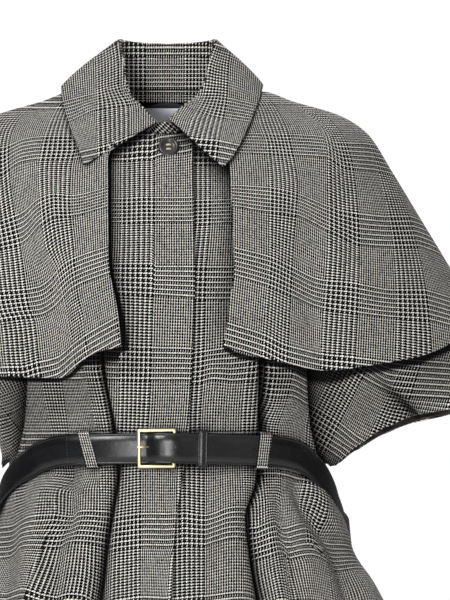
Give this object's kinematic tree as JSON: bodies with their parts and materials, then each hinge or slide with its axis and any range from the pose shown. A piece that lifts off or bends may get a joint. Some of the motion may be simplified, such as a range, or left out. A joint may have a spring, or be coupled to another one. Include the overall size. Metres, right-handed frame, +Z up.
{
  "type": "belted cape jacket",
  "caption": "Belted wool jacket with a short cape over wide sleeves, a turned-down collar, one button at the neck and a leather belt, filled out as it is worn.",
  "frame": {"origin": "middle of the neck's base, where the wearer's shoulders hold the jacket up", "axes": "+Z up the wearer's body, the front faces -Y, +X is the wearer's left, cape side to cape side"},
  "size_m": [0.7115, 0.3563, 0.6867],
  "materials": {
    "check_cloth": "woven wool, black and cream glen check",
    "brown_lining": "smooth lining, matt",
    "navy_lining": "smooth lining, matt",
    "white_label": "woven satin, blank",
    "black_leather": "satin, edge stitched",
    "gold_metal": "polished",
    "dark_horn": "satin"
  },
  "bodies": {
    "root": {"front_right": "check_cloth", "front_left": "check_cloth", "back": "check_cloth", "sleeve_right": "check_cloth", "sleeve_left": "check_cloth", "sleeve_lining_right": "brown_lining", "sleeve_lining_left": "brown_lining", "cape_right": "check_cloth", "cape_left": "check_cloth", "cape_back": "check_cloth", "collar": "check_cloth", "collar_band": "check_cloth", "neck_lining": "navy_lining", "label": "white_label", "belt_loop_front_right": "check_cloth", "belt_loop_front_left": "check_cloth", "belt_loop_back_right": "check_cloth", "belt_loop_back_left": "check_cloth", "button": "dark_horn", "belt": "black_leather", "belt_keeper": "black_leather", "buckle_frame": "gold_metal", "buckle_prong": "gold_metal"}
  },
  "joints": []
}
